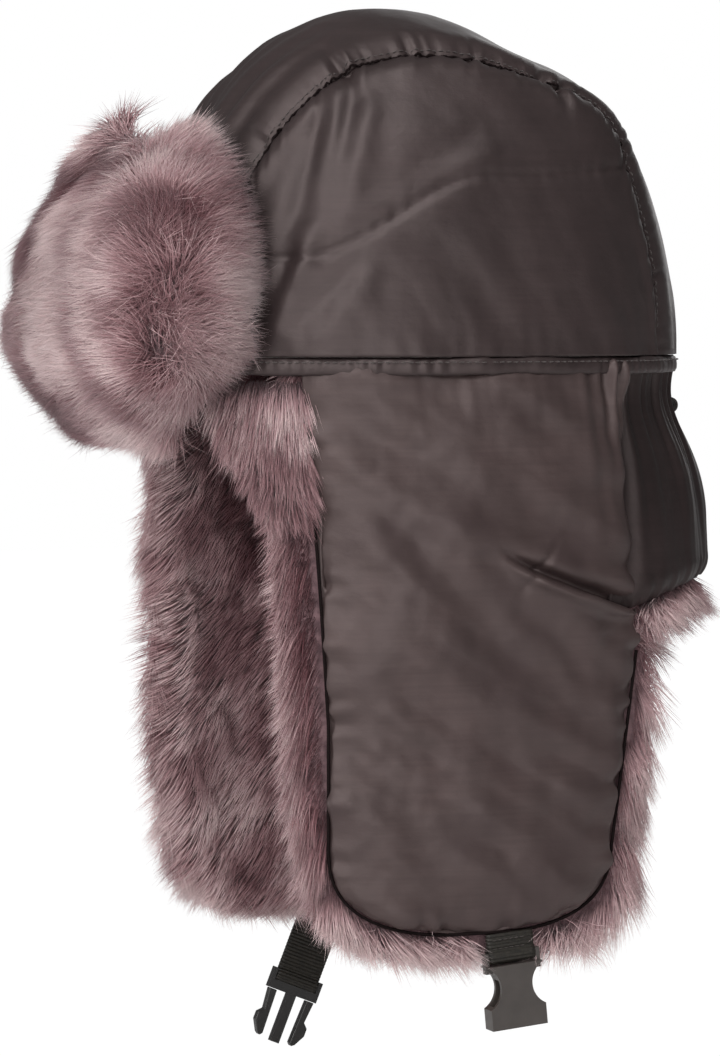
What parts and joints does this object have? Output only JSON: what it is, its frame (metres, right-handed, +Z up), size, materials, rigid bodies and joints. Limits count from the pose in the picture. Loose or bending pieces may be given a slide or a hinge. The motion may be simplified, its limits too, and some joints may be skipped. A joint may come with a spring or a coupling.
{
  "type": "trapper hat",
  "caption": "Padded winter hat with a fur brim folded up in front, long fur-lined ear flaps, a nape curtain and a side-release chin buckle.",
  "frame": {"origin": "middle of the head opening, on the bottom plane of the hem band", "axes": "-Y is the front of the hat, +X is the wearer's left, +Z is up"},
  "size_m": [0.1884, 0.2944, 0.4508],
  "materials": {
    "shell_cloth": "dark brown-grey taffeta with a satin sheen",
    "lining_cloth": "quilted smooth lining",
    "fur": "long grey-rose faux fur",
    "padding": "loose polyester batting",
    "stiffener": "stiff woven interlining",
    "elastic": "ribbed woven elastic",
    "webbing": "ribbed woven webbing",
    "loop_tape": "narrow woven tape",
    "buckle_plastic": "fine moulded satin"
  },
  "bodies": {
    "crown": {"crown_centre_panel": "shell_cloth", "crown_left_panel": "shell_cloth", "crown_right_panel": "shell_cloth", "crown_batting": "padding", "crown_lining": "lining_cloth", "hem_band": "shell_cloth", "nape_shell": "shell_cloth", "nape_batting": "padding", "nape_elastic": "elastic", "nape_fur": "fur", "hanger_loop": "loop_tape"},
    "brim": {"brim_fur": "fur", "brim_stiffener": "stiffener", "brim_backing": "shell_cloth"},
    "left_flap": {"left_flap_shell": "shell_cloth", "left_flap_batting": "padding", "left_flap_fur": "fur"},
    "right_flap": {"right_flap_shell": "shell_cloth", "right_flap_batting": "padding", "right_flap_fur": "fur"},
    "left_strap": {"left_strap": "webbing"},
    "right_strap": {"right_strap": "webbing"},
    "socket": {"buckle_socket": "buckle_plastic"},
    "plug": {"buckle_plug": "buckle_plastic"},
    "prong_front": {"buckle_prong_front": "buckle_plastic"},
    "prong_rear": {"buckle_prong_rear": "buckle_plastic"}
  },
  "joints": [
    {"name": "brim_fold", "type": "hinge", "parent": "crown", "child": "brim", "pos_m": [0, -0.118, -0.012], "axis": [1, 0, 0], "range_deg": [0, 95]},
    {"name": "left_flap_fold", "type": "hinge", "parent": "crown", "child": "left_flap", "pos_m": [0.0945, 0, -0.004], "axis": [0, -1, 0], "range_deg": [0, 165]},
    {"name": "right_flap_fold", "type": "hinge", "parent": "crown", "child": "right_flap", "pos_m": [-0.0945, 0, -0.004], "axis": [0, 1, 0], "range_deg": [0, 165]},
    {"name": "left_strap_swing", "type": "hinge", "parent": "left_flap", "child": "left_strap", "pos_m": [0.0894, 0.0094, -0.2235], "axis": [0, -0.9954, -0.0958], "range_deg": [0, 80]},
    {"name": "right_strap_swing", "type": "hinge", "parent": "right_flap", "child": "right_strap", "pos_m": [-0.0894, 0.0004, -0.2275], "axis": [0, 0.9272, -0.3746], "range_deg": [0, 80]},
    {"name": "socket_tilt", "type": "hinge", "parent": "left_strap", "child": "socket", "pos_m": [0.0894, 0.01045, -0.23445], "axis": [0, -0.9954, -0.0958], "range_deg": [-30, 60]},
    {"name": "plug_tilt", "type": "hinge", "parent": "right_strap", "child": "plug", "pos_m": [-0.0894, -0.01608, -0.2683], "axis": [0, 0.9272, -0.3746], "range_deg": [-45, 60]},
    {"name": "prong_front_flex", "type": "hinge", "parent": "plug", "child": "prong_front", "pos_m": [-0.0894, -0.02719, -0.27177], "axis": [1, 0, 0], "range_deg": [0, 8]},
    {"name": "prong_rear_flex", "type": "hinge", "parent": "plug", "child": "prong_rear", "pos_m": [-0.0894, -0.0105, -0.27851], "axis": [-1, 0, 0], "range_deg": [0, 8]}
  ],
  "couplings": [
    {"joint": "prong_rear_flex", "follows": "prong_front_flex", "ratio": 1}
  ]
}
